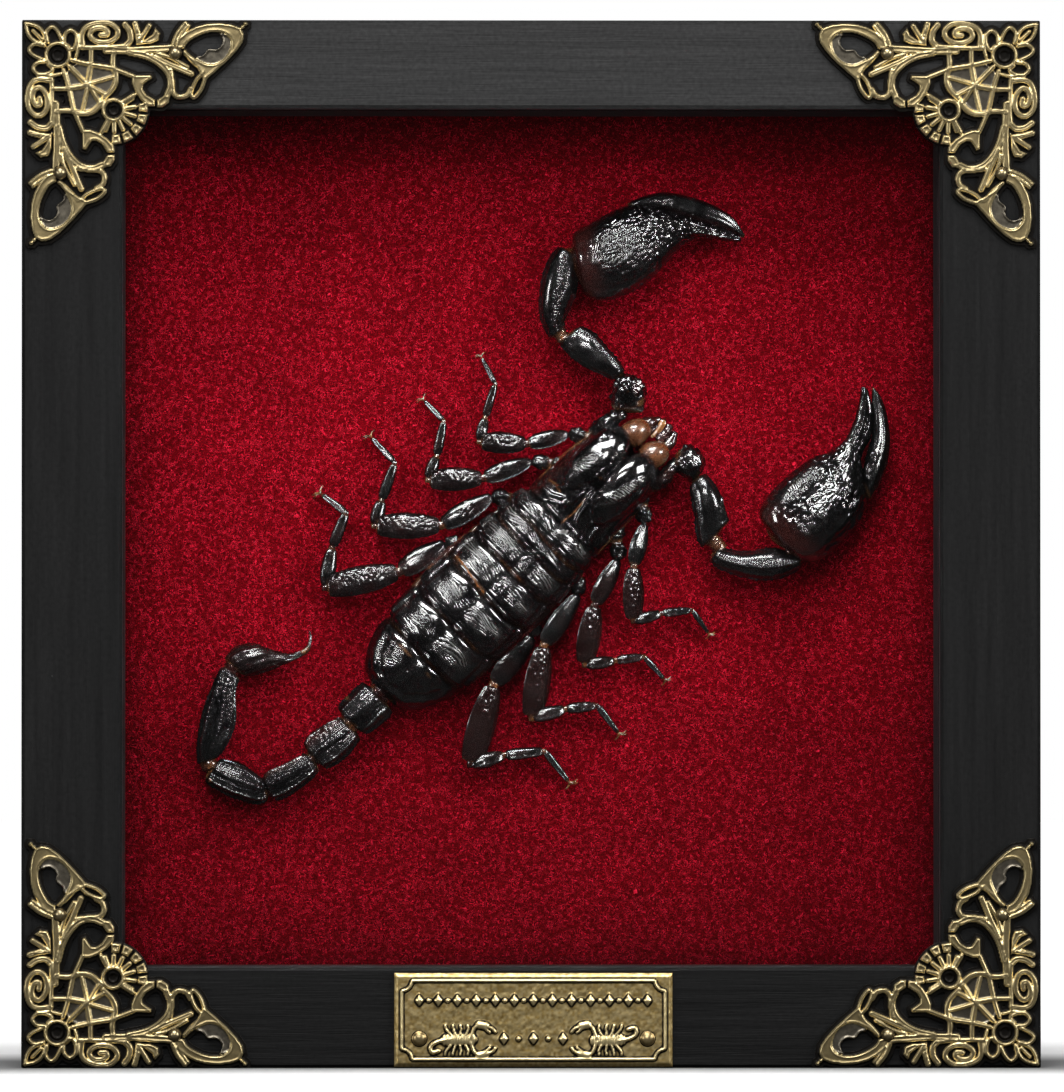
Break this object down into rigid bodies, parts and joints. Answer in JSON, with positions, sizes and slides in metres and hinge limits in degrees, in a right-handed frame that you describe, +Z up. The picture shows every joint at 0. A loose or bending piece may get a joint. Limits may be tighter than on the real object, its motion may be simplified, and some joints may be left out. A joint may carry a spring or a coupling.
{
  "type": "framed scorpion specimen",
  "caption": "Black scorpion mounted on red velvet in a shallow black box frame behind glass, with pierced brass corners and a small brass plate.",
  "frame": {"origin": "on the floor, under the middle of the bottom rail, halfway through the frame's depth", "axes": "+Z up the frame, +Y from the face to the back, +X to the right as seen from the front"},
  "size_m": [0.152, 0.0379, 0.1563],
  "materials": {
    "frame_wood": "satin black stain with a faint grain",
    "lining": "matt black paint",
    "glass": "clear, polished",
    "velvet": "short red pile with fine specks",
    "mount_card": "plain grey card",
    "back_board": "bare brown hardboard",
    "hanger_zinc": "zinc plated",
    "brass": "antiqued, dark in the recesses and bright on raised edges",
    "shell": "glossy wrinkled black shell with fine grains",
    "copper_shell": "glossy copper brown shell"
  },
  "bodies": {
    "root": {"rail_top": "frame_wood", "rail_bottom": "frame_wood", "rail_left": "frame_wood", "rail_right": "frame_wood", "spacer_top": "lining", "spacer_bottom": "lining", "spacer_left": "lining", "spacer_right": "lining", "glass_pane": "glass", "velvet_sheet": "velvet", "mount_board": "mount_card", "back_board": "back_board", "hanger_plate": "hanger_zinc", "hanger_screw_left": "hanger_zinc", "hanger_screw_right": "hanger_zinc", "corner_top_left": "brass", "corner_top_right": "brass", "corner_bottom_left": "brass", "corner_bottom_right": "brass", "nail_top_left_across": "brass", "nail_top_left_upright": "brass", "nail_top_right_across": "brass", "nail_top_right_upright": "brass", "nail_bottom_left_across": "brass", "nail_bottom_left_upright": "brass", "nail_bottom_right_across": "brass", "nail_bottom_right_upright": "brass", "name_plate": "brass", "plate_rivet_left": "brass", "plate_rivet_right": "brass", "carapace": "shell", "abdomen": "shell", "tail_segment_1": "shell", "tail_segment_2": "shell", "tail_segment_3": "shell", "tail_segment_4": "shell", "tail_segment_5": "shell", "telson": "shell", "chelicera_left": "copper_shell", "chelicera_right": "copper_shell", "pedipalp_coxa_left": "shell", "pedipalp_femur_left": "shell", "pedipalp_patella_left": "shell", "pedipalp_hand_left": "shell", "pedipalp_finger_left": "shell", "pedipalp_coxa_right": "shell", "pedipalp_femur_right": "shell", "pedipalp_patella_right": "shell", "pedipalp_hand_right": "shell", "pedipalp_finger_right": "shell", "leg_left_1": "shell", "leg_left_2": "shell", "leg_left_3": "shell", "leg_left_4": "shell", "leg_right_1": "shell", "leg_right_2": "shell", "leg_right_3": "shell", "leg_right_4": "shell"}
  },
  "joints": []
}
